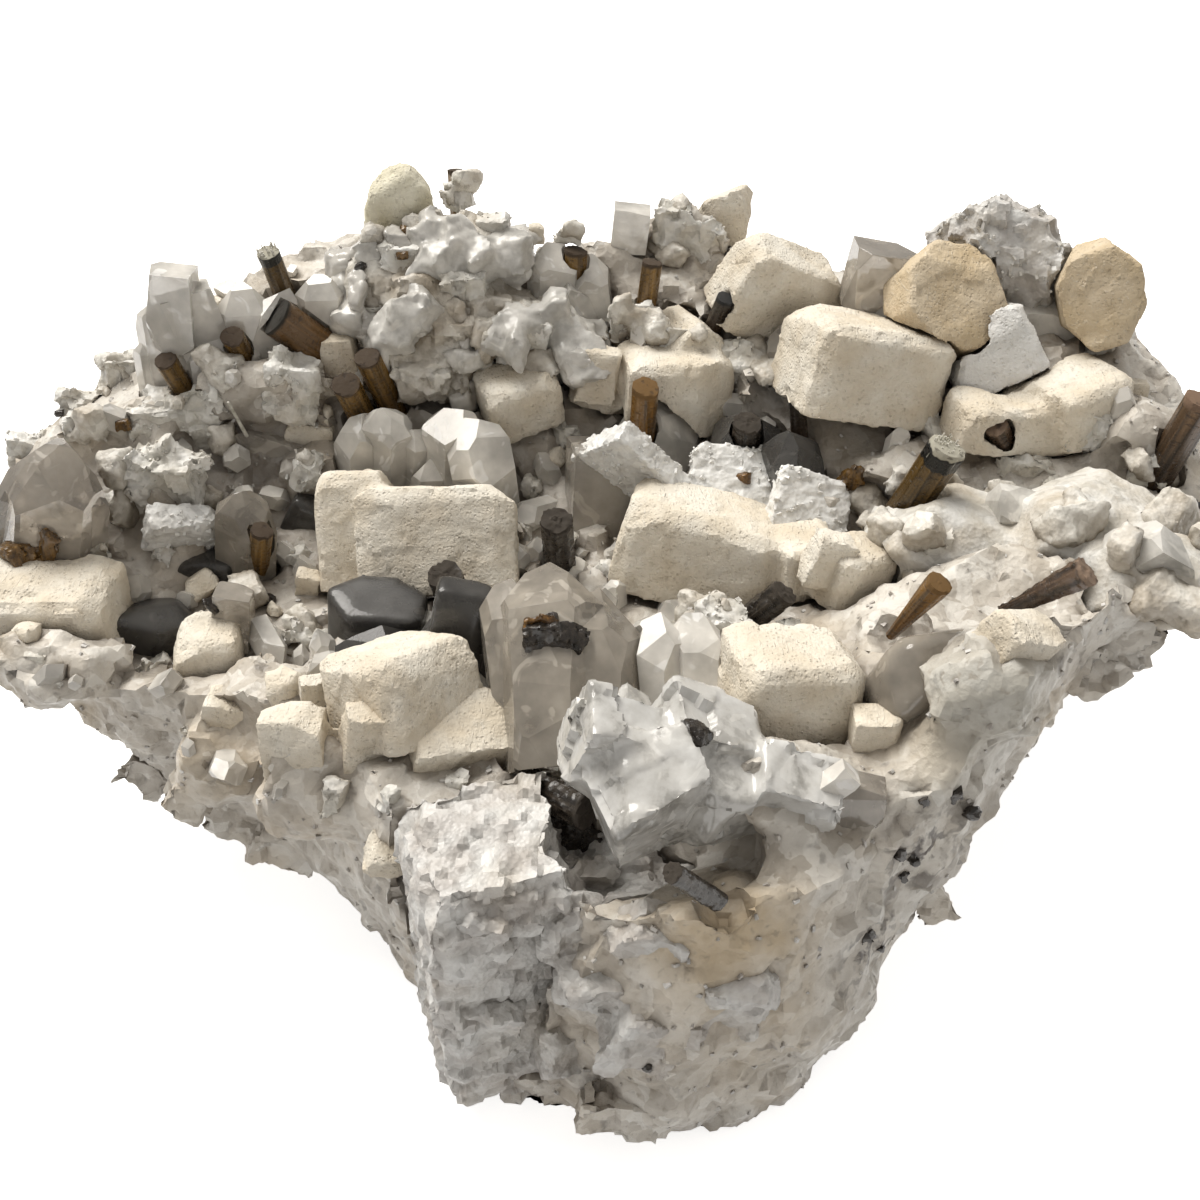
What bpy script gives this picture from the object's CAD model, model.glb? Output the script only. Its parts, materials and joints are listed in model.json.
"""Tourmaline on feldspar: the looks of a pegmatite plate crowded with cream feldspar blocks,
smoky quartz, white sugary albite and small brown tourmaline prisms.

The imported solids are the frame. Sizes in the tables are millimetres unless a name says
otherwise, and places are pixels of the 1200 x 1200 view.
"""

import json
import math
import random

import bmesh
import bpy
import numpy as np
from mathutils import Euler, Matrix, Vector, noise

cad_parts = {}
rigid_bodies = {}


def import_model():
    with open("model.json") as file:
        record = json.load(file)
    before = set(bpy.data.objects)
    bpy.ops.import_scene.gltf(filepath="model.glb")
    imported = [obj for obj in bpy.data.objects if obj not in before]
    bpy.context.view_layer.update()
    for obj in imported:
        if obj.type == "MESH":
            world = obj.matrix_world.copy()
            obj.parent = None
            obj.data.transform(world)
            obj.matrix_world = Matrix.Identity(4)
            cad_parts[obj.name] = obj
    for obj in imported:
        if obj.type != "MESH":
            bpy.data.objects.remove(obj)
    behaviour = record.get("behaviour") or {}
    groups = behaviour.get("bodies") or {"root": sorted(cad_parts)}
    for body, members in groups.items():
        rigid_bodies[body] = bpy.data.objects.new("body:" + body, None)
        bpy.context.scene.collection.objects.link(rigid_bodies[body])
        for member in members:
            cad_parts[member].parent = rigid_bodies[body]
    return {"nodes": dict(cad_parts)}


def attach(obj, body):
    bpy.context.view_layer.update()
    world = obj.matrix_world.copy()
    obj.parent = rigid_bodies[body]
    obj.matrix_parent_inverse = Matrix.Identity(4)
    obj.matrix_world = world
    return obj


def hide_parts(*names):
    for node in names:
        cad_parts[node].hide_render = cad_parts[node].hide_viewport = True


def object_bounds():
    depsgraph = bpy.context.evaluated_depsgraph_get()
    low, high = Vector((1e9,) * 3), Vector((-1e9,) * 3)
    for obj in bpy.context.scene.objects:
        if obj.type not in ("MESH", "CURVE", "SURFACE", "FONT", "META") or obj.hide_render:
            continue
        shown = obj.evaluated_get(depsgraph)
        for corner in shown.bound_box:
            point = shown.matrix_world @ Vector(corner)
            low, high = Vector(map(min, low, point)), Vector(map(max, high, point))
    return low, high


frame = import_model()
cad_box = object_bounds()

# The view and the studio: the eye looks down at 35 degrees from the front, over a plain
# white table, under one broad soft light from behind on the left and a pale surround.
MM = 0.001
EYE = Vector((0.0025, -0.1681, 0.159))
FOCAL_PX = 1287

lens = bpy.data.cameras.new("view")
lens.sensor_width = 36
lens.lens = 36 * FOCAL_PX / 1200
lens.clip_start = 0.001
camera = bpy.data.objects.new("view", lens)
camera.location = EYE
camera.rotation_euler = (math.radians(55), 0, 0)
bpy.context.scene.collection.objects.link(camera)
bpy.context.scene.camera = camera

sun = bpy.data.lights.new("window", "SUN")
sun.energy = 3.3
sun.angle = math.radians(40)
sun.color = (1.0, 0.97, 0.92)
window = bpy.data.objects.new("window", sun)
window.rotation_euler = Euler((math.radians(-21), math.radians(-24), 0))
bpy.context.scene.collection.objects.link(window)

world = bpy.data.worlds.new("surround")
world.use_nodes = True
world.node_tree.nodes["Background"].inputs["Color"].default_value = (1.0, 0.97, 0.93, 1)
world.node_tree.nodes["Background"].inputs["Strength"].default_value = 0.49
bpy.context.scene.world = world
bpy.context.scene.view_settings.view_transform = "Standard"
bpy.context.scene.view_settings.gamma = 0.95


class Link:
    """A shader socket that takes part in sums."""

    def __init__(self, paint, socket):
        self.paint = paint
        self.socket = socket

    def sum(self, operation, one, two):
        return self.paint.node("ShaderNodeMath", {"operation": operation}, {0: one, 1: two})

    def __add__(self, other):
        return self.sum("ADD", self, other)

    def __radd__(self, other):
        return self.sum("ADD", other, self)

    def __sub__(self, other):
        return self.sum("SUBTRACT", self, other)

    def __rsub__(self, other):
        return self.sum("SUBTRACT", other, self)

    def __mul__(self, other):
        return self.sum("MULTIPLY", self, other)

    def __rmul__(self, other):
        return self.sum("MULTIPLY", other, self)


class Paint:
    """A material while it is made. Its patterns lie in the piece's own space, in metres."""

    def __init__(self, name):
        self.material = bpy.data.materials.new(name)
        self.material.use_nodes = True
        self.tree = self.material.node_tree
        self.tree.nodes.clear()
        self.place = self.node("ShaderNodeTexCoord", out="Object")

    def node(self, kind, settings=None, sockets=None, out=0):
        """Adds a node, with its settings and its sockets' values or links, and gives one output."""
        made = self.tree.nodes.new(kind)
        for name, value in (settings or {}).items():
            setattr(made, name, value)
        for name, value in (sockets or {}).items():
            if isinstance(value, Link):
                self.tree.links.new(value.socket, made.inputs[name])
            else:
                made.inputs[name].default_value = value
        return Link(self, made.outputs[out])

    def cloud(self, size, detail=4.0, stretch=(1, 1, 1), turn=(0, 0, 0), out=0, **more):
        """Soft noise from 0 to 1 whose blotches are about a size in millimetres."""
        spread = self.node("ShaderNodeMapping", None, {"Vector": self.place, "Scale": stretch, "Rotation": turn})
        sockets = {"Vector": spread, "Scale": 1000 / size, "Detail": detail, **more}
        return self.node("ShaderNodeTexNoise", None, sockets, out)

    def cells(self, size, feature="F1", out="Distance", **more):
        """Crystal grains of about a size in millimetres."""
        sockets = {"Vector": self.place, "Scale": 1000 / size, **more}
        return self.node("ShaderNodeTexVoronoi", {"feature": feature}, sockets, out)

    def fade(self, value, low, high):
        """0 where a value is at low, 1 where it is at high."""
        sockets = {"Value": value, "From Min": low, "From Max": high}
        return self.node("ShaderNodeMapRange", None, sockets)

    def near(self, spot, reach):
        """1 at a spot, fading to 0 at a reach in millimetres."""
        away = self.node("ShaderNodeVectorMath", {"operation": "DISTANCE"}, {0: self.place, 1: spot}, "Value")
        return self.fade(away, reach * MM, 0.3 * reach * MM)

    def mix(self, share, one, two):
        """One colour where the share is 0, the other where it is 1."""
        sockets = {0: share}
        for name, value in ((6, one), (7, two)):
            sockets[name] = value if isinstance(value, Link) else (*value, 1)
        return self.node("ShaderNodeMix", {"data_type": "RGBA"}, sockets, 2)

    def relief(self, height, depth, strength=1.0):
        """A bump whose height runs over a depth in millimetres."""
        sockets = {"Height": height, "Distance": depth * MM, "Strength": strength}
        return self.node("ShaderNodeBump", None, sockets)

    def skin(self, **sockets):
        """A Principled surface; an underscore in a name stands for a space."""
        named = {name.replace("_", " "): value for name, value in sockets.items()}
        return self.node("ShaderNodeBsdfPrincipled", None, named)

    def done(self, surface, volume=None):
        sockets = {"Surface": surface} if volume is None else {"Surface": surface, "Volume": volume}
        made = self.tree.nodes.new("ShaderNodeOutputMaterial")
        for name, value in sockets.items():
            self.tree.links.new(value.socket, made.inputs[name])
        return self.material


table = Paint("white_table")
dust = table.cloud(400, 3)
table_white = table.mix(table.fade(dust, 0.3, 0.7), (0.93, 0.93, 0.93), (0.97, 0.97, 0.97))
table.done(table.skin(
    Base_Color=table_white, Roughness=0.8, Normal=table.relief(dust, 0.02), Emission_Color=table_white,
    Emission_Strength=0.72,
))
bpy.ops.mesh.primitive_circle_add(vertices=128, radius=6, fill_type="NGON")
floor = bpy.context.object
floor.name = "table"
floor.location.z = -0.00002
floor.data.materials.append(table.material)
floor.visible_diffuse = False


# The rock: a broken plate of pegmatite, grey-white and sugary at the front of its keel,
# beige and pitted on its left flank, bluish on its right one. It is one solid piece; the
# crystals are seated in it.
ROCK_VOXEL = 1.4


def sight(px, py):
    """The direction of the sight line through a pixel, for one unit of depth."""
    right, down = (px - 600) / FOCAL_PX, (py - 600) / FOCAL_PX
    return camera.rotation_euler.to_matrix() @ Vector((right, -down, -1))


def seen(px, py):
    """Where the sight line through a pixel meets the specimen. A line that misses it takes
    the depth of the nearest one, towards the middle of the view, that doesn't."""
    graph = bpy.context.evaluated_depsgraph_get()
    for step in range(60):
        share = step / 60
        ray = sight(px + (600 - px) * share, py + (620 - py) * share)
        hit, where, _, _, obj, _ = bpy.context.scene.ray_cast(graph, EYE, ray)
        if hit and obj is not floor:
            return EYE + sight(px, py) * (where - EYE).length / ray.length
    return None


def merged(obj, voxel):
    """The object's mesh made anew as an even skin of small faces."""
    bm = bmesh.new()
    bm.from_mesh(obj.data)
    bmesh.ops.remove_doubles(bm, verts=bm.verts, dist=1e-6)
    bm.to_mesh(obj.data)
    bm.free()
    modifier = obj.modifiers.new("even skin", "REMESH")
    modifier.mode = "VOXEL"
    modifier.voxel_size = voxel * MM
    graph = bpy.context.evaluated_depsgraph_get()
    mesh = bpy.data.meshes.new_from_object(obj.evaluated_get(graph))
    obj.modifiers.clear()
    obj.data = mesh
    mesh.shade_smooth()
    return obj


def copy_of(node, name):
    """A new object with a node's mesh."""
    obj = bpy.data.objects.new(name, frame["nodes"][node].data.copy())
    obj.data.materials.clear()
    bpy.context.scene.collection.objects.link(obj)
    return obj


def facets(point, size):
    """Height of broken grains: every cell is a flat that leans its own way."""
    core = noise.voronoi(point / size)[1][0]
    lean = noise.cell_vector(core * 31.7) - Vector((0.5, 0.5, 0.5))
    return ((point / size - core).dot(lean) * 1.6 + noise.cell(core * 17.3) - 0.5) * size


def weather(obj, relief, crisp=38):
    """Moves every vertex along its normal by what relief gives for its place in millimetres.
    Edges sharper than crisp degrees stay crisp."""
    mesh = obj.data
    count = len(mesh.vertices)
    points = np.empty(count * 3, np.float32)
    normals = np.empty(count * 3, np.float32)
    mesh.vertices.foreach_get("co", points)
    mesh.vertex_normals.foreach_get("vector", normals)
    points = points.reshape(-1, 3)
    heights = np.array([relief(Vector(point)) for point in points * 1000])
    points = points + normals.reshape(-1, 3) * heights[:, None] * MM
    points = np.clip(points, cad_box[0], cad_box[1])
    mesh.vertices.foreach_set("co", points.astype(np.float32).ravel())
    mesh.update()
    mesh.set_sharp_from_angle(angle=math.radians(crisp))


def melted(obj, times):
    """Rounds every edge and crease, as small crystals that have grown together look."""
    bm = bmesh.new()
    bm.from_mesh(obj.data)
    for _ in range(times):
        bmesh.ops.smooth_vert(bm, verts=bm.verts, factor=0.5, use_axis_x=True, use_axis_y=True, use_axis_z=True)
    bm.to_mesh(obj.data)
    bm.free()


def dress(obj, material, slot, *nodes):
    """Gives a piece its material, its body, the nodes that it stands for and its slot."""
    obj.data.materials.clear()
    obj.data.materials.append(material)
    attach(obj, "root")
    if nodes:
        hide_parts(*nodes)


def rock_relief(point):
    broad = facets(point, 6.5) * 0.14
    grain = facets(point, 2.3) * 0.12
    return broad + grain + noise.noise(point / 0.9) * 0.12 - 0.15


spots = {name: seen(*px) for name, px in {
    "left flank": (240, 770), "keel hollow": (690, 900), "keel stain": (760, 950),
    "right flank": (1000, 710), "dark patch": (930, 850), "dark patch low": (880, 940),
    "left end": (60, 660), "grey hollow": (160, 640), "low right": (760, 1060),
    "upper hollow": (250, 450),
}.items()}
rock_paint = Paint("pegmatite")
blotch = rock_paint.cloud(11, 5)
speck = rock_paint.cloud(1.1, 3)
shift = rock_paint.node("ShaderNodeVectorMath", {"operation": "SCALE"}, {0: rock_paint.cloud(2.2, 3, out="Color"), "Scale": 0.002})
rock_paint.place = rock_paint.node("ShaderNodeVectorMath", {"operation": "ADD"}, {0: rock_paint.place, 1: shift})
grain = rock_paint.cells(1.6)
tone = rock_paint.node("ShaderNodeSeparateColor", None, {"Color": rock_paint.cells(3.0, out="Color")})
pale = rock_paint.mix(rock_paint.fade(blotch, 0.36, 0.62), (0.53, 0.49, 0.43), (0.79, 0.75, 0.68))
pale = rock_paint.mix(rock_paint.fade(tone, 0.55, 0.9) * 0.6, pale, (0.84, 0.82, 0.77))
pale = rock_paint.mix(rock_paint.fade(tone, 0.35, 0.12) * 0.45, pale, (0.40, 0.36, 0.31))
stain = rock_paint.cloud(16, 4, turn=(1, 2, 0))
tan = rock_paint.fade(stain, 0.50, 0.72) * 0.55
for spot, reach, share in (("left flank", 28, 0.3), ("keel hollow", 14, 0.9), ("keel stain", 16, 0.8), ("low right", 12, 0.5)):
    tan = tan + rock_paint.near(spots[spot], reach) * share * rock_paint.fade(blotch, 0.25, 0.6)
colour = rock_paint.mix(tan, pale, (0.60, 0.49, 0.34))
blue = rock_paint.near(spots["right flank"], 18) * 0.6
colour = rock_paint.mix(blue, colour, (0.42, 0.41, 0.36))
soot = rock_paint.fade(rock_paint.cloud(2.6, 4), 0.50, 0.58)
dark = (rock_paint.near(spots["dark patch"], 10) + rock_paint.near(spots["dark patch low"], 8)) * soot
dark = dark + rock_paint.fade(rock_paint.cloud(3.4, 4, turn=(2, 0, 1)), 0.64, 0.72) * 0.5
dark = dark + rock_paint.near(spots["upper hollow"], 14) * 0.5 + rock_paint.near(spots["grey hollow"], 10) * 0.5
colour = rock_paint.mix(dark, colour, (0.11, 0.095, 0.085))
colour = rock_paint.mix(rock_paint.fade(speck, 0.40, 0.28) * 0.5, colour, (0.32, 0.27, 0.21))
crevice = rock_paint.node("ShaderNodeAmbientOcclusion", {"samples": 1}, {"Distance": 0.007}, "AO")
colour = rock_paint.mix(rock_paint.fade(crevice, 0.78, 0.25) * 0.85, colour, (0.15, 0.12, 0.095))
dull = 0.75 - rock_paint.fade(grain, 0.1, 0.6) * 0.35
relief = rock_paint.relief(grain * 0.7 + speck * 0.6, 0.4, 0.7)
rock_paint.done(rock_paint.skin(Base_Color=colour, Roughness=dull, Normal=relief))

rock = merged(copy_of("matrix", "rock"), ROCK_VOXEL)
weather(rock, rock_relief)
dress(rock, rock_paint.material, "matrix", "matrix")


# Cream feldspar: blocks and slabs of microcline with bevelled edges, their faces pitted
# with short lengthwise nicks and stained tan here and there.
FELDSPAR_VOXEL = 0.66


def feldspar_relief(point):
    swell = noise.noise(point / 6) * 0.12
    ledge = min(1, max(0, (noise.noise(point / 5 + Vector((9, 4, 2))) - 0.22) / 0.05))
    step = facets(point, 3.4) * 0.04 - 0.15 * ledge
    nick = min(0, noise.noise(Vector((point.x / 0.9, point.y / 0.9, point.z / 1.6))) + 0.1) * 0.4
    return swell + step + nick - 0.05


def trimmed(bm, count, seed, deep=1.3):
    """Cuts small flats off a form's outermost corners, up to a depth in millimetres, as uneven
    growth leaves them."""
    picks = random.Random(seed)
    for _ in range(count):
        way = Vector((picks.gauss(0, 1), picks.gauss(0, 1), abs(picks.gauss(0, 1)))).normalized()
        reach = max(v.co.dot(way) for v in bm.verts) - picks.uniform(0.4, deep) * MM
        cut = bmesh.ops.bisect_plane(
            bm, geom=bm.verts[:] + bm.edges[:] + bm.faces[:], plane_co=way * reach, plane_no=way, clear_outer=True,
        )
        rim = [item for item in cut["geom_cut"] if isinstance(item, bmesh.types.BMEdge)]
        bmesh.ops.edgeloop_fill(bm, edges=rim)


def feldspar_paint(name, cream, pale, tan, stained, pitted):
    paint = Paint(name)
    colour = paint.mix(paint.fade(paint.cloud(7, 4), 0.35, 0.65), cream, pale)
    colour = paint.mix(paint.fade(paint.cloud(9, 5, turn=(1, 0, 2)), 0.5, 0.75) * stained, colour, tan)
    deep = paint.node("ShaderNodeSeparateColor", None, {"Color": paint.cells(0.6, out="Color")})
    holes = paint.fade(paint.cells(0.6), 0.42, 0.12) * paint.fade(deep, 0.2, 0.5)
    holes = holes * paint.fade(paint.cloud(6, 3, turn=(3, 1, 0)), 0.3, 0.5)
    lines = paint.fade(paint.cloud(0.4, 1, stretch=(1, 0.12, 1), turn=(0.2, 0, 0.4)), 0.62, 0.72)
    colour = paint.mix(holes * pitted, colour, (0.52, 0.44, 0.32))
    colour = paint.mix(lines * 0.25, colour, (0.88, 0.85, 0.78))
    crevice = paint.node("ShaderNodeAmbientOcclusion", {"samples": 1}, {"Distance": 0.004}, "AO")
    colour = paint.mix(paint.fade(crevice, 0.7, 0.3) * 0.6, colour, [c * 0.45 for c in tan])
    fine = paint.cloud(0.5, 4)
    colour = paint.mix(paint.fade(fine, 0.55, 0.40) * 0.08, colour, [c * 0.75 for c in tan])
    height = fine * 0.7 - holes * 0.45 + lines * 0.2
    roughness = 0.62 + fine * 0.25
    return paint.done(paint.skin(Base_Color=colour, Roughness=roughness, Normal=paint.relief(height, 0.3)))


cream_feldspar = feldspar_paint("cream_feldspar", (0.78, 0.70, 0.57), (0.88, 0.835, 0.74), (0.64, 0.53, 0.38), 0.5, 0.16)
tan_feldspar = feldspar_paint("tan_feldspar", (0.62, 0.50, 0.33), (0.74, 0.63, 0.47), (0.50, 0.37, 0.21), 0.7, 0.25)
white_feldspar = feldspar_paint("white_feldspar", (0.79, 0.785, 0.76), (0.88, 0.87, 0.85), (0.60, 0.56, 0.50), 0.3, 0.1)
yellow_feldspar = feldspar_paint("yellow_feldspar", (0.72, 0.67, 0.50), (0.86, 0.82, 0.68), (0.58, 0.50, 0.33), 0.5, 0.1)
FELDSPAR_FINISH = {"feldspar_hexagon": tan_feldspar, "feldspar_far_left": yellow_feldspar, "feldspar_far_right": tan_feldspar, "feldspar_white_slab": white_feldspar}

for node in sorted(frame["nodes"]):
    if node.startswith("feldspar"):
        block = copy_of(node, node + "_crystal")
        bm = bmesh.new()
        bm.from_mesh(block.data)
        bmesh.ops.remove_doubles(bm, verts=bm.verts, dist=1e-6)
        trimmed(bm, 5, len(node), 1.6)
        bm.to_mesh(block.data)
        bm.free()
        merged(block, FELDSPAR_VOXEL)
        melted(block, 8 if node == "feldspar_far_left" else 1)
        weather(block, feldspar_relief, 21)
        dress(block, FELDSPAR_FINISH.get(node, cream_feldspar), "feldspar", node)


# White albite: sugary bluish-white masses of tiny platy grains, grown over everything.
ALBITE_VOXEL = 0.75


def albite_relief(point):
    bulb = noise.noise(point / 3.5) * 0.35
    return bulb + facets(point, 3.4) * 0.18 + facets(point, 1.5) * 0.12 + noise.noise(point / 0.8) * 0.05 - 0.25


def albite_paint(name, white, grey, brown, stained, hollow):
    """White is its crust, grey the clear grains in it, brown the stain, stronger in hollows."""
    paint = Paint(name)
    colour = paint.mix(paint.fade(paint.cloud(5, 5), 0.40, 0.62), white, grey)
    shade = paint.node("ShaderNodeSeparateColor", None, {"Color": paint.cells(1.4, out="Color")})
    colour = paint.mix(paint.fade(shade, 0.55, 1.0) * 0.3, colour, (0.92, 0.91, 0.88))
    colour = paint.mix(paint.fade(shade, 0.4, 0.0) * 0.45, colour, [c * 0.6 for c in grey])
    warm = paint.fade(paint.cloud(9, 5, turn=(0, 1, 1)), 0.48, 0.68) * stained
    colour = paint.mix(warm, colour, brown)
    crevice = paint.node("ShaderNodeAmbientOcclusion", {"samples": 1}, {"Distance": 0.006}, "AO")
    colour = paint.mix(paint.fade(crevice, 0.8, 0.3) * hollow, colour, [c * 0.35 for c in brown])
    fine = paint.cells(0.6)
    relief = paint.relief(paint.cells(1.6) * 0.6 + fine * 0.4, 0.32, 0.8)
    gloss = 0.28 + fine * 0.4
    return paint.done(paint.skin(
        Base_Color=colour, Roughness=gloss, Normal=relief,
    ))


sugar_white = albite_paint("sugar_white_albite", (0.83, 0.82, 0.785), (0.66, 0.64, 0.58), (0.60, 0.52, 0.40), 0.4, 0.35)
keel_grey = albite_paint("grey_white_albite", (0.73, 0.725, 0.705), (0.55, 0.52, 0.49), (0.50, 0.44, 0.36), 0.45, 0.55)
mound_ice = albite_paint("icy_albite", (0.84, 0.815, 0.75), (0.64, 0.60, 0.53), (0.42, 0.33, 0.22), 0.5, 1.0)
snow = albite_paint("snowy_albite", (0.80, 0.79, 0.755), (0.66, 0.63, 0.565), (0.58, 0.48, 0.34), 0.45, 0.6)
ALBITE_FINISH = {"albite_right_crust": snow, "albite_keel_block": keel_grey, "albite_back_right": keel_grey, "albite_middle_mound": mound_ice}
for node in sorted(frame["nodes"]):
    if node.startswith("albite"):
        mass = merged(copy_of(node, node + "_mass"), ALBITE_VOXEL)
        if node == "albite_right_crust":
            weather(mass, lambda point: noise.noise(point / 4) * 0.6 + noise.noise(point / 1.4) * 0.14 - 0.3, 60)
        else:
            weather(mass, albite_relief, 26)
        dress(mass, ALBITE_FINISH.get(node, sugar_white), "albite", node)


# Smoky quartz: six-sided points, glassy but full of pale veils, grey where they are thick.
def quartz_paint(name, veil, low, high, smoke, density, frost=0.0, dull=0.14):
    """The veiled share runs from low to high; smoke and density tint what shines through."""
    paint = Paint(name)
    soft = paint.fade(paint.cloud(7, 4), 0.35, 0.65)
    crack = paint.fade(paint.cloud(5, 2, turn=(2, 2, 0), Distortion=1.5), 0.60, 0.68)
    steps = paint.cloud(1.2, 1, stretch=(0.3, 0.3, 3.0))
    relief = paint.relief(steps, 0.03, 0.3)
    glass = paint.skin(
        Base_Color=(0.98, 0.97, 0.95, 1), Roughness=paint.fade(paint.cloud(3, 3), 0.3, 0.9) * 0.12, IOR=1.54,
        Transmission_Weight=1.0, Normal=relief,
    )
    colour = paint.mix(paint.fade(paint.cloud(4, 5, turn=(1, 0, 1)), 0.35, 0.65), veil, [c * 0.78 for c in veil])
    colour = paint.mix(crack * 0.45, colour, [min(1, c * 1.25) for c in veil])
    share = soft * (high - low) + low + crack * 0.1
    if frost:
        rime = paint.fade(paint.cloud(5, 6, Roughness=0.6, turn=(0, 1, 2)), 0.40, 0.66) * frost
        colour = paint.mix(rime, colour, (0.75, 0.745, 0.725))
        share = share + rime
    cloudy = paint.skin(Base_Color=colour, Roughness=dull + crack * 0.3, IOR=1.54, Normal=relief)
    surface = paint.node("ShaderNodeMixShader", None, {0: share, 1: glass, 2: cloudy})
    depth = paint.node("ShaderNodeVolumeAbsorption", None, {"Color": (*smoke, 1), "Density": density})
    return paint.done(surface, depth)


clear_quartz = quartz_paint("pale_quartz", (0.92, 0.885, 0.82), 0.55, 0.85, (0.88, 0.85, 0.80), 15)
smoky_quartz = quartz_paint("smoky_quartz", (0.63, 0.58, 0.51), 0.35, 0.6, (0.66, 0.61, 0.54), 90)
dark_quartz = quartz_paint("dark_quartz", (0.10, 0.095, 0.088), 0.5, 0.8, (0.40, 0.37, 0.34), 400, dull=0.35)
beige_quartz = quartz_paint("beige_quartz", (0.47, 0.425, 0.36), 0.45, 0.75, (0.74, 0.70, 0.63), 40)
milky_quartz = quartz_paint("milky_quartz", (0.76, 0.735, 0.68), 0.6, 0.85, (0.86, 0.83, 0.78), 20, 0.4, 0.32)
ice_quartz = quartz_paint("icy_quartz", (0.58, 0.565, 0.53), 0.65, 0.9, (0.84, 0.82, 0.77), 20, 0.85)
QUARTZ_FINISH = {
    "quartz_dark_pool": dark_quartz, "quartz_smoky_dome": dark_quartz, "quartz_slim_pair": smoky_quartz,
    "quartz_left_point": smoky_quartz, "quartz_far_dome": smoky_quartz,
    "quartz_front_giant": beige_quartz, "quartz_left_middle": beige_quartz,
}


def worn(obj, width, segments, angle=14):
    """Bevels the edges a little and leaves the faces flat."""
    obj.data.shade_flat()
    edge = obj.modifiers.new("worn edges", "BEVEL")
    edge.width = width * MM
    edge.segments = segments
    edge.angle_limit = math.radians(angle)
    graph = bpy.context.evaluated_depsgraph_get()
    obj.data = bpy.data.meshes.new_from_object(obj.evaluated_get(graph))
    obj.modifiers.clear()


for k, node in enumerate(sorted(frame["nodes"])):
    if node.startswith("quartz") and node != "quartz_front_cluster":
        point = copy_of(node, node + "_crystal")
        bm = bmesh.new()
        bm.from_mesh(point.data)
        bmesh.ops.remove_doubles(bm, verts=bm.verts, dist=1e-6)
        bmesh.ops.dissolve_limit(bm, angle_limit=math.radians(1), verts=bm.verts, edges=bm.edges)
        trimmed(bm, 14, k)
        bm.to_mesh(point.data)
        bm.free()
        worn(point, 0.15, 2)
        dress(point, QUARTZ_FINISH.get(node, clear_quartz), "quartz", node)


# Tourmaline: brown three-sided prisms with fine ridges along them, some with a black band
# under a pale fibrous end, some corroded to dark knobs.
AROUND = 32
ALONG = 24
# Each prism's end in the view, and its finish.
TOURMALINES = {
    "01": ((268, 252), "banded"), "02": ((275, 316), "dark end"), "03": ((232, 336), "brown"),
    "04": ((165, 360), "brown"), "05": ((346, 384), "brown"), "06": ((367, 357), "brown"),
    "07": ((455, 170), "brown"), "08": ((502, 242), "dark"), "09": ((576, 250), "brown"),
    "10": ((652, 262), "brown"), "11": ((726, 298), "dark"), "12": ((646, 387), "amber"),
    "13": ((748, 422), "corroded"), "14": ((797, 400), "dark"), "15": ((995, 425), "knobby"),
    "16": ((953, 440), "banded"), "17": ((1203, 400), "deep brown"), "18": ((262, 530), "brown"),
    "19": ((557, 520), "corroded"), "20": ((445, 575), "corroded"), "21": ((786, 592), "corroded"),
    "22": ((945, 577), "amber"), "23": ((1095, 568), "knobby"), "24": ((588, 812), "corroded"),
    "25": ((655, 862), "corroded"),
}
# Some look larger or smaller than their solid, or lie nearer to the eye, in millimetres.
SCALES = {"16": 0.88, "22": 0.86, "23": 0.9, "25": 0.6}
NUDGES = {"18": 2.0, "22": 0.8}
# How thick some are at their foot, as a share of their thickness at the tip.
TAPERS = {"22": 0.3, "23": 0.35}


def tourmaline_paint(name, low, high, end, band=None):
    """Low and high are the colours at the foot and near the tip, end is the tip's, band the band's."""
    paint = Paint(name)
    along = paint.node("ShaderNodeAttribute", {"attribute_name": "along"}, None, "Fac")
    along = along + (paint.cloud(1.2, 2) - 0.5) * 0.05
    colour = paint.mix(paint.fade(along, 0.3, 0.85), low, high)
    streak = paint.cloud(0.7, 3, stretch=(1, 1, 0.05))
    colour = paint.mix(paint.fade(streak, 0.48, 0.66) * 0.75, colour, [c * 0.25 for c in low])
    colour = paint.mix(paint.fade(streak, 0.42, 0.28) * 0.5, colour, [min(1, c * 2.2) for c in high])
    colour = paint.mix(paint.fade(along, 0.93, 0.97), colour, end)
    if band:
        colour = paint.mix(paint.fade(along, 0.84, 0.85) * paint.fade(along, 0.97, 0.96), colour, band)
        colour = paint.mix(paint.fade(along, 0.97, 0.98), colour, end)
    crack = paint.fade(paint.cloud(1.5, 4, stretch=(1, 1, 2.5)), 0.60, 0.66)
    colour = paint.mix(crack * 0.5, colour, (0.03, 0.02, 0.015))
    relief = paint.relief(streak + crack * -0.5, 0.12, 0.9)
    gloss = 0.16 + paint.cloud(0.8, 3) * 0.25 + paint.fade(along, 0.94, 0.96) * 0.6
    return paint.done(paint.skin(Base_Color=colour, Roughness=gloss, IOR=1.55, Normal=relief))


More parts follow.
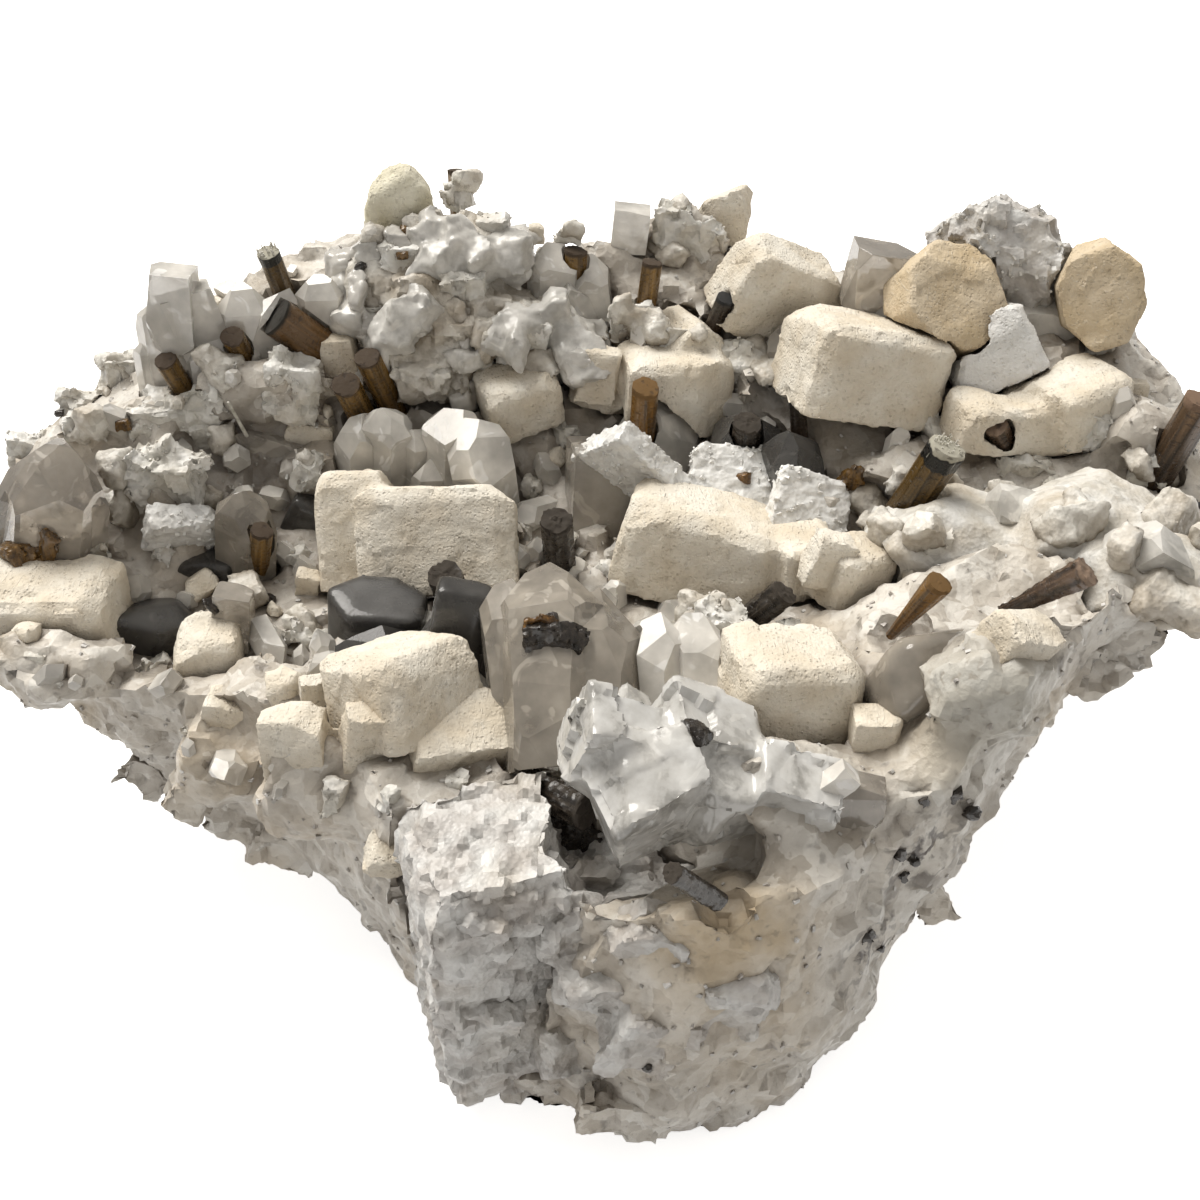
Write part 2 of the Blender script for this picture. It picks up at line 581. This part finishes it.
TOURMALINE_FINISH = {
    "brown": tourmaline_paint("brown_tourmaline", (0.15, 0.083, 0.024), (0.23, 0.138, 0.043), (0.07, 0.048, 0.03)),
    "banded": tourmaline_paint("banded_tourmaline", (0.075, 0.045, 0.014), (0.12, 0.072, 0.02), (0.42, 0.40, 0.33), (0.006, 0.006, 0.005)),
    "dark end": tourmaline_paint("dark_ended_tourmaline", (0.16, 0.085, 0.026), (0.13, 0.07, 0.024), (0.025, 0.022, 0.016)),
    "dark": tourmaline_paint("dark_tourmaline", (0.06, 0.035, 0.02), (0.05, 0.04, 0.03), (0.03, 0.03, 0.03)),
    "knobby": tourmaline_paint("knobby_tourmaline", (0.035, 0.022, 0.013), (0.13, 0.085, 0.055), (0.24, 0.17, 0.12)),
    "deep brown": tourmaline_paint("deep_brown_tourmaline", (0.055, 0.034, 0.018), (0.14, 0.085, 0.045), (0.20, 0.13, 0.085)),
    "amber": tourmaline_paint("amber_tourmaline", (0.13, 0.064, 0.015), (0.22, 0.115, 0.028), (0.17, 0.095, 0.03)),
    "corroded": tourmaline_paint("corroded_tourmaline", (0.035, 0.028, 0.022), (0.05, 0.04, 0.03), (0.05, 0.04, 0.03)),
}


def distance_to_sight(point, px, py):
    ray, away = sight(px, py).normalized(), point - EYE
    return (away - ray * away.dot(ray)).length


def ridged(node, tip_px, corroded, seed, thin):
    """A prism sampled from its node by rays out of its axis, with ridges along it."""
    source = copy_of(node, node + "_form")
    points = np.array([v.co for v in source.data.vertices])
    middle = points.mean(0)
    low, high = points.min(0), points.max(0)
    middle = Vector((low + high) / 2)
    axis = Vector(np.linalg.svd(points - points.mean(0))[2][0]).normalized()
    reach = max(abs((Vector(p) - middle).dot(axis)) for p in points)
    ends = [middle - axis * reach, middle + axis * reach]
    if distance_to_sight(ends[0], *tip_px) < distance_to_sight(ends[1], *tip_px):
        axis = -axis
    graph = bpy.context.evaluated_depsgraph_get()
    place = Matrix.Translation(middle) @ axis.to_track_quat("Z", "Y").to_matrix().to_4x4()
    solid = source.evaluated_get(graph)
    turn = place.to_3x3()

    def wall(start, direction):
        hit, where, _, _ = solid.ray_cast(start, direction)
        return (where - start).length if hit else None

    up = wall(middle, axis)
    down = wall(middle, -axis)
    radius = wall(middle, turn @ Vector((1, 0, 0))) or 2 * MM
    rows = []
    foot, tip = -down + radius * 0.8, up - radius * 0.8
    for k in range(1, 8):
        rows.append((foot, -90 + k * 90 / 8))
    for k in range(ALONG + 1):
        rows.append((foot + (tip - foot) * k / ALONG, 0))
    for k in range(1, 12):
        rows.append((tip, k * 90 / 12))
    bm = bmesh.new()
    rings = []
    for height, lift in rows:
        start = middle + axis * height
        slim = thin + (1 - thin) * (height + down) / (up + down)
        ring = []
        for j in range(AROUND):
            a = math.tau * j / AROUND
            flat = math.cos(math.radians(lift))
            way = Vector((math.cos(a) * flat, math.sin(a) * flat, math.sin(math.radians(lift))))
            far = wall(start, turn @ way)
            far = far if far is not None else radius * 0.5
            ridge = noise.noise(Vector((math.cos(a) * 5.5, math.sin(a) * 5.5, seed * 7.1 + height * 25)))
            fine = noise.noise(Vector((math.cos(a) * 13, math.sin(a) * 13, seed * 3.3 + height * 15)))
            shrink = 0.045 * (1 - ridge) + 0.03 * (1 - fine)
            point = Vector((0, 0, height)) + way * far * (1 - shrink * flat) * slim
            if corroded:
                at = (point * 1000 + Vector((seed * 9, 0, 0))) / 1.3
                point -= way * (0.45 * abs(noise.noise(at)) + 0.2 * noise.noise(at * 2.3)) * MM
            ring.append(bm.verts.new(point))
        rings.append(ring)
    for one, two in zip(rings, rings[1:]):
        for j in range(AROUND):
            n = (j + 1) % AROUND
            bm.faces.new((one[j], one[n], two[n], two[j]))
    for ring, height, side in ((rings[0], -down, -1), (rings[-1], up, 1)):
        pole = bm.verts.new((0, 0, height))
        for j in range(AROUND):
            n = (j + 1) % AROUND
            bm.faces.new((ring[n], ring[j], pole) if side < 0 else (ring[j], ring[n], pole))
    mesh = bpy.data.meshes.new(node + "_prism")
    bm.to_mesh(mesh)
    bm.free()
    along = mesh.attributes.new("along", "FLOAT", "POINT")
    along.data.foreach_set("value", [(v.co.z + down) / (up + down) for v in mesh.vertices])
    mesh.shade_smooth()
    mesh.set_sharp_from_angle(angle=math.radians(35))
    prism = bpy.data.objects.new(node + "_prism", mesh)
    prism.matrix_world = place
    bpy.context.scene.collection.objects.link(prism)
    bpy.data.objects.remove(source)
    return prism, axis, up, radius


caps = []
for number, (tip_px, look) in TOURMALINES.items():
    node = "tourmaline_" + number
    prism, axis, up, radius = ridged(node, tip_px, look in ("corroded", "knobby"), int(number), TAPERS.get(number, 1))
    prism.scale *= SCALES.get(number, 1)
    prism.location -= sight(*tip_px) * NUDGES.get(number, 0) * MM
    dress(prism, TOURMALINE_FINISH[look], "tourmaline", node)
    if look == "banded":
        caps.append((prism.matrix_world.copy(), up, radius))


# Small masses on the plate: lumps of sugary albite, cream blocks and broken quartz that fill
# the room between the large crystals. Each is a block hewn by flats, seen at a pixel box.
def hewn(size, cuts, seed, keep=(0.72, 0.95)):
    """A block of a size in metres, with corners and edges cut off by flats."""
    picks = random.Random(seed)
    bm = bmesh.new()
    bmesh.ops.create_cube(bm, size=1)
    for _ in range(cuts):
        way = Vector([picks.gauss(0, 1) for _ in range(3)]).normalized()
        reach = sum(abs(c) for c in way) / 2
        cut = bmesh.ops.bisect_plane(
            bm, geom=bm.verts[:] + bm.edges[:] + bm.faces[:], plane_co=way * reach * picks.uniform(*keep),
            plane_no=way, clear_outer=True,
        )
        rim = [item for item in cut["geom_cut"] if isinstance(item, bmesh.types.BMEdge)]
        bmesh.ops.edgeloop_fill(bm, edges=rim)
    bmesh.ops.scale(bm, vec=size, verts=bm.verts)
    return bm


def six_sided(width, length, seed):
    """A quartz point of a width and a length in metres, its foot at the origin."""
    picks = random.Random(seed)
    bm = bmesh.new()
    bmesh.ops.create_cone(bm, cap_ends=True, segments=6, radius1=width / 2, radius2=width / 2, depth=length)
    bmesh.ops.translate(bm, vec=(0, 0, length / 2), verts=bm.verts)
    for k in range(6):
        a = math.tau * (k + 0.5) / 6
        way = Vector((math.cos(a) * 0.79, math.sin(a) * 0.79, 0.61))
        cut = bmesh.ops.bisect_plane(
            bm, geom=bm.verts[:] + bm.edges[:] + bm.faces[:],
            plane_co=(0, 0, length - picks.uniform(0, 0.35) * width * (k % 2) - picks.uniform(0, 0.1) * width),
            plane_no=way, clear_outer=True,
        )
        rim = [item for item in cut["geom_cut"] if isinstance(item, bmesh.types.BMEdge)]
        if rim:
            bmesh.ops.edgeloop_fill(bm, edges=rim)
    bmesh.ops.scale(bm, vec=(1, picks.uniform(0.7, 1.0), 1), verts=bm.verts)
    return bm


def gathered(name, forms):
    """One object from several (bmesh, place) forms."""
    whole = bmesh.new()
    for bm, place in forms:
        bm.transform(place)
        mesh = bpy.data.meshes.new("form")
        bm.to_mesh(mesh)
        bm.free()
        whole.from_mesh(mesh)
        bpy.data.meshes.remove(mesh)
    bmesh.ops.recalc_face_normals(whole, faces=whole.faces)
    mesh = bpy.data.meshes.new(name)
    whole.to_mesh(mesh)
    whole.free()
    obj = bpy.data.objects.new(name, mesh)
    bpy.context.scene.collection.objects.link(obj)
    return obj


def at_box(left, right, top, bottom, turn, sink, depth=None):
    """The size in metres and the place of a form that fills a box of pixels."""
    across, down = (left + right) / 2, (top + bottom) / 2
    where, ray = seen(across, down), sight(across, down).normalized()
    scale = (where - EYE).length / sight(across, down).length / FOCAL_PX
    wide, high = (right - left) * scale, (bottom - top) * scale
    deep = depth * MM if depth else 0.8 * min(wide, high)
    turned = Euler([math.radians(a) for a in turn]).to_matrix().to_4x4()
    return (wide, deep, high), Matrix.Translation(where + ray * deep * sink) @ turned


# Left, right, top and bottom in pixels, turn in degrees about x, y and z, cuts, how far it is sunk.
WHITE_LUMPS = [
    (48, 106, 384, 424, (0, 10, 0), 9, 0.4), (2, 62, 428, 472, (0, 10, 0), 9, 0.4), (546, 592, 222, 250, (0, 0, 0), 9, 0.2),
    (110, 215, 436, 527, (10, 0, 0), 5, 0.3), (130, 240, 385, 450, (10, 10, 0), 6, 0.3),
    (116, 201, 397, 442, (0, 0, 10), 6, 0.2), (58, 116, 405, 447, (0, 10, 0), 6, 0.2),
    (92, 152, 345, 402, (0, 10, 30), 6, 0.3), (180, 235, 380, 425, (0, 20, 0), 5, 0.1),
    (255, 335, 345, 435, (0, 10, 0), 7, 0.3), (196, 250, 350, 390, (10, 0, 0), 6, 0.2),
    (284, 328, 450, 494, (10, 25, 10), 3, 0.0), (80, 118, 534, 566, (0, 0, 0), 7, 0.0),
    (150, 182, 540, 566, (0, 30, 0), 6, 0.0), (30, 62, 545, 572, (0, 0, 0), 7, 0.0),
    (511, 540, 514, 562, (0, -6, 10), 4, -0.1), (236, 262, 584, 622, (0, 8, 0), 7, 0.0),
    (676, 755, 588, 664, (10, 20, 20), 4, 0.1), (647, 700, 196, 262, (0, 0, 0), 7, 0.2),
    (690, 732, 215, 272, (0, 0, 0), 6, 0.2), (598, 660, 297, 350, (0, 0, 0), 6, 0.3),
    (650, 715, 318, 352, (0, 0, 0), 6, 0.3), (690, 785, 335, 410, (20, 0, 0), 6, 0.3),
    (436, 482, 176, 214, (0, 0, 0), 8, 0.1), (350, 400, 290, 352, (0, 0, 0), 6, 0.3),
    (372, 432, 232, 300, (0, 0, 0), 6, 0.3), (468, 520, 208, 262, (0, 0, 0), 5, 0.3),
    (486, 560, 300, 380, (0, 12, 0), 4, 0.3), (430, 500, 258, 330, (0, 0, 0), 6, 0.3),
    (1052, 1140, 400, 462, (0, 20, 0), 5, 0.3), (985, 1060, 448, 500, (0, 10, 0), 6, 0.2),
    (1120, 1180, 446, 500, (0, 0, 0), 6, 0.3), (838, 882, 486, 532, (0, 0, 0), 6, 0.2),
    (1072, 1122, 328, 378, (0, -8, 0), 3, 0.1), (905, 960, 520, 575, (0, 0, 0), 7, 0.3),
    (560, 600, 690, 740, (0, 20, 0), 5, 0.2), (270, 330, 622, 668, (0, 20, 0), 5, 0.2),
    (440, 480, 768, 800, (0, 0, 0), 6, 0.2), (20, 60, 640, 680, (0, 0, 0), 6, 0.3),
]
PLATES = [(142, 216, 498, 562, (32, 14, 24), 6, 0.1, 5), (582, 680, 424, 514, (35, 45, 0), 1, -0.9, 4.5), (686, 786, 446, 512, (-50, 6, 0), 4, 0.2, 5), (766, 852, 472, 545, (-45, 20, 0), 4, 0.2, 5)]
CREAM_BLOCKS = [
    (294, 322, 564, 613, (10, 14, 0), 5, 0.0), (284, 336, 418, 448, (0, 12, 0), 3, 0.1),
    (322, 360, 332, 382, (0, -5, 0), 4, 0.1), (299, 330, 668, 740, (0, 4, 20), 3, 0.1),
    (340, 400, 690, 775, (10, 8, 20), 9, 0.35), (395, 505, 690, 800, (20, 8, 20), 9, 0.3), (972, 1050, 604, 690, (25, 18, 30), 13, 0.35),
    (1124, 1148, 378, 402, (0, 0, 0), 5, 0.0), (846, 900, 700, 790, (0, 0, 0), 6, 0.3), (480, 500, 700, 760, (0, -20, 0), 4, 0.1),
    (528, 546, 222, 244, (0, 0, 0), 5, 0.0), (576, 620, 343, 404, (0, 10, 0), 4, 0.2),
    (804, 850, 530, 590, (0, 20, 10), 4, 0.1),
    (200, 250, 690, 740, (0, 20, 0), 6, 0.3), (262, 330, 700, 790, (0, 0, 0), 7, 0.4),
]
# The icy mass over the keel, one solid of broken crystals.
ICE = [
    (566, 660, 684, 800, (15, 20, 10), 8, 0.1), (590, 712, 730, 856, (25, -12, 20), 7, 0.3),
    (640, 752, 692, 800, (10, 30, 15), 7, 0.3), (680, 790, 750, 842, (20, 10, 30), 6, 0.35),
    (740, 838, 750, 838, (15, 20, 0), 4, 0.35), (600, 650, 686, 736, (0, 40, 0), 5, -0.1),
]
ROCK_KNOBS = [
    (1040, 1130, 630, 698, (0, 30, 0), 9, 0.6), (1095, 1165, 600, 664, (0, 25, 0), 9, 0.6), (120, 176, 742, 796, (0, 30, 0), 7, 0.5),
    (160, 215, 772, 822, (0, 30, 0), 7, 0.5), (905, 952, 862, 930, (0, -30, 0), 9, 0.75),
    (205, 268, 786, 838, (0, 25, 0), 7, 0.5), (250, 325, 812, 872, (0, 25, 0), 7, 0.5),
    (495, 590, 1045, 1112, (0, 15, 0), 8, 0.4), (570, 680, 1075, 1138, (0, 10, 0), 8, 0.4),
]
GLASSY = [
    ("smoky", 566, 640, 440, 600, (-15, 6, 10), 4, 0.3), ("smoky", 828, 878, 770, 842, (0, 15, 0), 5, 0.1),
    ("clear", 826, 852, 764, 798, (0, 45, 0), 3, -0.3), ("clear", 612, 648, 207, 250, (0, 6, 0), 3, 0.1),
    ("beige", 864, 974, 626, 728, (20, 10, 30), 22, 0.25), ("milky", 985, 1045, 492, 540, (30, 20, 0), 14, 0.5),
    ("milky", 1110, 1176, 520, 600, (20, 30, 0), 16, 0.45), ("milky", 1000, 1075, 300, 350, (0, 0, 0), 9, 0.3),
    ("dark", 328, 428, 584, 668, (10, 5, 0), 14, 0.2), ("dark", 431, 490, 581, 660, (0, 12, 0), 10, 0.2),
    ("dark", 112, 196, 590, 700, (10, 20, 10), 12, 0.4), ("dark", 180, 236, 548, 600, (0, 10, 0), 8, 0.4),
    ("dark", 286, 336, 494, 546, (0, 30, 0), 7, 0.3), ("smoky", 235, 300, 425, 480, (0, 20, 0), 9, 0.5),
    ("clear", 540, 600, 285, 352, (10, 35, 20), 9, 0.3), ("clear", 150, 196, 268, 350, (0, 6, 0), 5, 0.1),
    ("clear", 172, 222, 286, 356, (0, -12, 20), 5, 0.2),
    ("smoky", 215, 252, 585, 650, (0, 10, 0), 5, 0.3), ("smoky", 846, 922, 250, 326, (0, 10, 0), 16, 0.4),
]


def lumps_of(name, rows, voxel, relief, material, slot, share=0.5, pieces=7):
    """One mass for all rows: each box of pixels is filled by a block and by smaller ones
    that lie every way in it, as crystals grow together."""
    forms = []
    for k, (left, right, top, bottom, turn, cuts, sink, *depth) in enumerate(rows):
        size, place = at_box(left, right, top, bottom, turn, sink, *depth)
        picks = random.Random(k * 13 + len(name))
        core = 0.94 if not pieces else 0.74
        forms.append((hewn([s * core for s in size], cuts, k + len(name)), place))
        for j in range(pieces):
            way = Vector([picks.uniform(-1, 1) for _ in range(3)])
            middle = Vector([way[i] * size[i] * 0.34 for i in range(3)])
            small = [s * share * picks.uniform(0.6, 1.1) for s in (min(size[0], size[2]), size[1], min(size[0], size[2]) * 0.6)]
            spin = Euler([picks.uniform(0, 6) for _ in range(3)]).to_matrix().to_4x4()
            forms.append((hewn(small, 3, k * 31 + j), place @ Matrix.Translation(middle) @ spin))
    whole = merged(gathered(name, forms), voxel)
    weather(whole, relief)
    dress(whole, material, slot)
    return whole


ice = lumps_of("icy_mass", ICE, 0.6, lambda point: facets(point, 6) * 0.10 + facets(point, 2) * 0.02 - 0.1, ice_quartz, "quartz", 0.5, 0)
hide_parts("quartz_front_cluster")
def plate_relief(point):
    line = noise.noise(Vector((point.x / 3, point.y / 0.7, point.z / 0.7)))
    return facets(point, 1.6) * 0.12 + line * 0.25


def keel_relief(point):
    return facets(point, 3) * 0.12 + facets(point, 1.3) * 0.14


KEEL = [
    (535, 615, 880, 960, (0, 20, 10), 9, 0.3), (540, 640, 940, 1020, (20, 0, 0), 9, 0.35), (520, 610, 1000, 1085, (0, 10, 30), 9, 0.35),
    (600, 700, 890, 980, (10, 30, 0), 9, 0.4), (590, 700, 980, 1080, (0, 30, 10), 9, 0.4), (680, 790, 930, 1040, (20, 10, 0), 9, 0.45),
    (430, 520, 890, 960, (0, 10, 0), 9, 0.45), (440, 540, 960, 1050, (20, 10, 0), 9, 0.45), (470, 560, 870, 930, (0, 10, 0), 9, 0.45),
    (560, 620, 850, 900, (10, 10, 0), 9, 0.3),
]
lumps_of("rock_knobs", ROCK_KNOBS, 0.8, rock_relief, rock_paint.material, "matrix", 0.5, 0)
lumps_of("keel_crust", KEEL, 0.64, keel_relief, keel_grey, "albite", 0.5, 5)
white_lumps = lumps_of("white_lumps", WHITE_LUMPS, 0.64, albite_relief, sugar_white, "albite")
plate_white = albite_paint("white_albite_plates", (0.92, 0.92, 0.90), (0.82, 0.81, 0.78), (0.66, 0.60, 0.50), 0.15, 0.3)
white_plates = lumps_of("white_plates", PLATES, 0.52, plate_relief, plate_white, "albite", 0.4, 0)
lumps_of("cream_blocks", CREAM_BLOCKS, 0.62, feldspar_relief, cream_feldspar, "feldspar", 0.5, 0)
for look, material in (("clear", clear_quartz), ("smoky", smoky_quartz), ("dark", dark_quartz), ("beige", beige_quartz), ("milky", milky_quartz)):
    forms = []
    for k, (kind, left, right, top, bottom, turn, cuts, sink) in enumerate(GLASSY):
        if kind == look:
            size, place = at_box(left, right, top, bottom, turn, sink)
            forms.append((hewn(size, cuts, k + 50, (0.6, 0.9) if cuts > 8 else (0.72, 0.95)), place))
    glass = gathered(look + "_quartz_lumps", forms)
    if look in ("dark", "beige"):
        melted(merged(glass, 0.6), 6)
    else:
        worn(glass, 0.2, 2)
    dress(glass, material, "quartz")


# The crowd: small quartz points, cream blocks and white lumps, a few millimetres long, that
# stand close together all over the plate's upper side.
def strewn(count, seed, low, high):
    """Places on the rock's upper side, with the way that its surface faces and a size."""
    picks = random.Random(seed)
    graph = bpy.context.evaluated_depsgraph_get()
    found = []
    while len(found) < count:
        x, y = picks.uniform(-0.1, 0.1), picks.uniform(-0.06, 0.074)
        hit, where, slope, _, obj, _ = bpy.context.scene.ray_cast(graph, Vector((x, y, 0.3)), Vector((0, 0, -1)))
        if hit and obj is rock and where.z > 0.035 and where.x < (0.03 if where.y < -0.01 else 0.085):
            way = (slope + Vector([picks.uniform(-0.5, 0.5) for _ in range(3)])).normalized()
            top = where + way * high * MM
            covers = bpy.context.scene.ray_cast(graph, EYE, top - EYE)
            if covers[0] and covers[4] is not rock and (covers[1] - EYE).length > (top - EYE).length - 0.001:
                continue
            turn = way.to_track_quat("Z", "Y").to_matrix().to_4x4() @ Matrix.Rotation(picks.uniform(0, 6), 4, "Z")
            small = 0.6 if where.y > 0.045 else 1
            found.append((where, way, turn, picks.uniform(low, high) * small * MM))
    return found


forms = []
for k, (where, way, turn, size) in enumerate(strewn(150, 1, 2.0, 6.0)):
    forms.append((six_sided(size, size * 1.9, k), Matrix.Translation(where - way * size * 0.8) @ turn))
crowd = gathered("quartz_crowd", forms)
worn(crowd, 0.12, 1)
dress(crowd, clear_quartz, "quartz")
for name, seed, count, material, slot, relief in (
    ("cream_crowd", 2, 40, cream_feldspar, "feldspar", feldspar_relief),
    ("white_crowd", 3, 100, sugar_white, "albite", albite_relief),
):
    forms = []
    for k, (where, way, turn, size) in enumerate(strewn(count, seed, 2.5, 6)):
        forms.append((hewn((size, size * 0.8, size * 1.1), 9, k, (0.62, 0.9)), Matrix.Translation(where) @ turn))
    crowd = merged(gathered(name, forms), 0.62)
    melted(crowd, 2 if slot == "feldspar" else 6)
    weather(crowd, relief)
    dress(crowd, material, slot)


# Needles: the pale fibrous ends of two prisms, and a white stick that lies on the left mound.
def needle(foot, tip, width):
    """A thin four-sided needle from foot to tip, in metres, pointed a little."""
    bm = bmesh.new()
    length = (tip - foot).length
    bmesh.ops.create_cone(bm, cap_ends=True, segments=5, radius1=width / 2, radius2=width / 3, depth=length)
    turn = (tip - foot).to_track_quat("Z", "Y").to_matrix().to_4x4()
    return bm, Matrix.Translation((foot + tip) / 2) @ turn


fibre_paint = Paint("pale_fibre")
fibre_tone = fibre_paint.cloud(0.8, 3)
fibre_colour = fibre_paint.mix(fibre_paint.fade(fibre_tone, 0.3, 0.7), (0.42, 0.40, 0.33), (0.80, 0.78, 0.72))
fibre_paint.done(fibre_paint.skin(Base_Color=fibre_colour, Roughness=0.5, Normal=fibre_paint.relief(fibre_tone, 0.1)))
picks = random.Random(5)
forms = []
for place, up, radius in caps:
    for _ in range(70):
        turn, out = picks.uniform(0, math.tau), radius * 0.86 * math.sqrt(picks.random())
        side = Vector((math.cos(turn) * out, math.sin(turn) * out, 0))
        start = side + Vector((0, 0, up - 2.6 * MM))
        end = side * picks.uniform(0.9, 1.15) + Vector((0, 0, up + picks.uniform(-1.0, 0.8) * MM))
        forms.append(needle(place @ start, place @ end, picks.uniform(0.25, 0.5) * MM))
stick_foot, stick_tip = seen(247, 436), seen(228, 402)
forms.append(needle(stick_foot, stick_tip - sight(228, 402) * 0.002, 0.7 * MM))
dress(gathered("fibres", forms), fibre_paint.material, "tourmaline")


# Crumbs of tourmaline: short dark and brown bits that lie on the crystals or stick out.
CRUMBS = {
    "dark": [(519, 560, 614, 656), (548, 584, 622, 654), (681, 709, 719, 748), (642, 654, 1060, 1072), (722, 736, 244, 258),
             (56, 66, 406, 420), (1182, 1200, 495, 515), (202, 221, 600, 612), (262, 276, 594, 610), (355, 368, 262, 274),
             (946, 962, 784, 804), (962, 978, 802, 824), (890, 906, 845, 863), (907, 920, 846, 868), (896, 911, 866, 883),
             (860, 876, 926, 944), (874, 886, 940, 956), (917, 931, 796, 808), (548, 572, 790, 850),
             (566, 596, 810, 866)],
    "amber": [(520, 534, 616, 630), (534, 558, 614, 628), (736, 752, 471, 485)],
    "brown": [(113, 131, 418, 431), (841, 862, 464, 492), (0, 36, 538, 572), (28, 70, 532, 556), (394, 410, 226, 238), (396, 410, 250, 262)],
}
for look, boxes in CRUMBS.items():
    forms = []
    for k, box in enumerate(boxes):
        size, place = at_box(*box, (k * 20, k * 35, 0), 0.1)
        forms.append((hewn(size, 9, k + 90, (0.6, 0.85)), place))
    crumbs = merged(gathered("tourmaline_crumbs_" + look, forms), 0.38)
    weather(crumbs, lambda point: facets(point, 1.1) * 0.22)
    dress(crumbs, TOURMALINE_FINISH["corroded" if look == "dark" else look], "tourmaline")


# Sugar and chips: thin white blades under a millimetre long, and clear chips of a few
# millimetres, grown on the albite and in the crannies.
def spread(hosts, count, seed, patch=4):
    """Places and outward directions picked at random over the hosts' faces, in patches."""
    rng = np.random.default_rng(seed)
    corners = []
    for host in hosts:
        host.data.calc_loop_triangles()
        index = np.empty(len(host.data.loop_triangles) * 3, np.int32)
        host.data.loop_triangles.foreach_get("vertices", index)
        points = np.empty(len(host.data.vertices) * 3, np.float32)
        host.data.vertices.foreach_get("co", points)
        corners.append(points.reshape(-1, 3)[index].reshape(-1, 3, 3))
    corners = np.concatenate(corners)
    slopes = np.cross(corners[:, 1] - corners[:, 0], corners[:, 2] - corners[:, 0])
    area = np.linalg.norm(slopes, axis=1)
    pick = rng.choice(len(corners), count * 3, p=area / area.sum())
    share = rng.dirichlet((1, 1, 1), count * 3)
    places = (corners[pick] * share[:, :, None]).sum(1)
    ways = slopes[pick] / area[pick][:, None]
    keep = [noise.noise(Vector(place) / (patch * MM) + Vector((seed, 0, 0))) > -0.05 for place in places]
    keep = np.array(keep) & (places[:, 2] > 0.003)
    return places[keep][:count], ways[keep][:count], rng


def sugared(name, hosts, count, low, high, seed, material, slot):
    """Small blades set at random on the hosts' faces, sizes in millimetres."""
    places, _, rng = spread(hosts, count, seed)
    count = len(places)
    long = rng.uniform(low, high, count) * MM
    sizes = np.stack([long, long * rng.uniform(0.5, 0.9, count), long * rng.uniform(0.3, 0.6, count)], 1) / 2
    turns, _ = np.linalg.qr(rng.normal(size=(count, 3, 3)))
    cube = np.array([(x, y, z) for x in (-1, 1) for y in (-1, 1) for z in (-1, 1)], float)
    verts = np.einsum("nij,nkj->nki", turns, cube[None] * sizes[:, None]) + places[:, None]
    verts = np.clip(verts.reshape(-1, 3), cad_box[0], cad_box[1])
    quads = np.array([(0, 1, 3, 2), (4, 6, 7, 5), (0, 4, 5, 1), (2, 3, 7, 6), (0, 2, 6, 4), (1, 5, 7, 3)])
    faces = (quads[None] + np.arange(count)[:, None, None] * 8).reshape(-1, 4)
    mesh = bpy.data.meshes.new(name)
    mesh.from_pydata(verts.tolist(), [], faces.tolist())
    bm = bmesh.new()
    bm.from_mesh(mesh)
    bmesh.ops.recalc_face_normals(bm, faces=bm.faces)
    bm.to_mesh(mesh)
    bm.free()
    obj = bpy.data.objects.new(name, mesh)
    bpy.context.scene.collection.objects.link(obj)
    dress(obj, material, slot)


def chipped(name, hosts, count, low, high, seed, material, slot, relief):
    """Rounded crystals set in the hosts' faces and grown together, sizes in millimetres."""
    picks = random.Random(seed)
    forms = []
    for k, (place, way) in enumerate(zip(*spread(hosts, count, seed)[:2])):
        size = picks.uniform(low, high) * MM
        size = (size, size * picks.uniform(0.5, 0.9), size * picks.uniform(0.8, 1.5))
        form = hewn(size, 13, seed + k, (0.55, 0.85))
        turn = Euler([picks.uniform(0, 6) for _ in range(3)]).to_matrix().to_4x4()
        forms.append((form, Matrix.Translation(Vector(place) - Vector(way) * size[1] * 0.1) @ turn))
    chips = merged(gathered(name, forms), 0.55)
    melted(chips, 5)
    weather(chips, relief, 50)
    dress(chips, material, slot)


def chip_relief(point):
    return facets(point, 2.2) * 0.10 + noise.noise(point / 1.2) * 0.25 + noise.noise(point / 0.6) * 0.08 - 0.1


masses = {node: bpy.data.objects[node + "_mass"] for node in sorted(frame["nodes"]) if node.startswith("albite")}
mound = [masses["albite_middle_mound"]]
chipped("mound_chips", mound, 80, 3, 9.0, 21, milky_quartz, "quartz", chip_relief)
chipped("mound_points", mound, 30, 3, 7.0, 24, clear_quartz, "quartz", chip_relief)
chipped("crust_chips", [masses["albite_right_crust"]], 30, 3, 8.0, 22, mound_ice, "albite", chip_relief)
chipped("lump_chips", [white_lumps], 90, 2.5, 6.5, 23, mound_ice, "albite", chip_relief)
sugared("albite_sugar", [masses["albite_back_right"], white_lumps], 1500, 0.3, 0.8, 7, sugar_white, "albite")
sugared("plate_sugar", [white_plates], 500, 0.4, 0.9, 8, plate_white, "albite")
sugared("rock_grains", [rock], 3000, 0.3, 0.9, 9, keel_grey, "matrix")
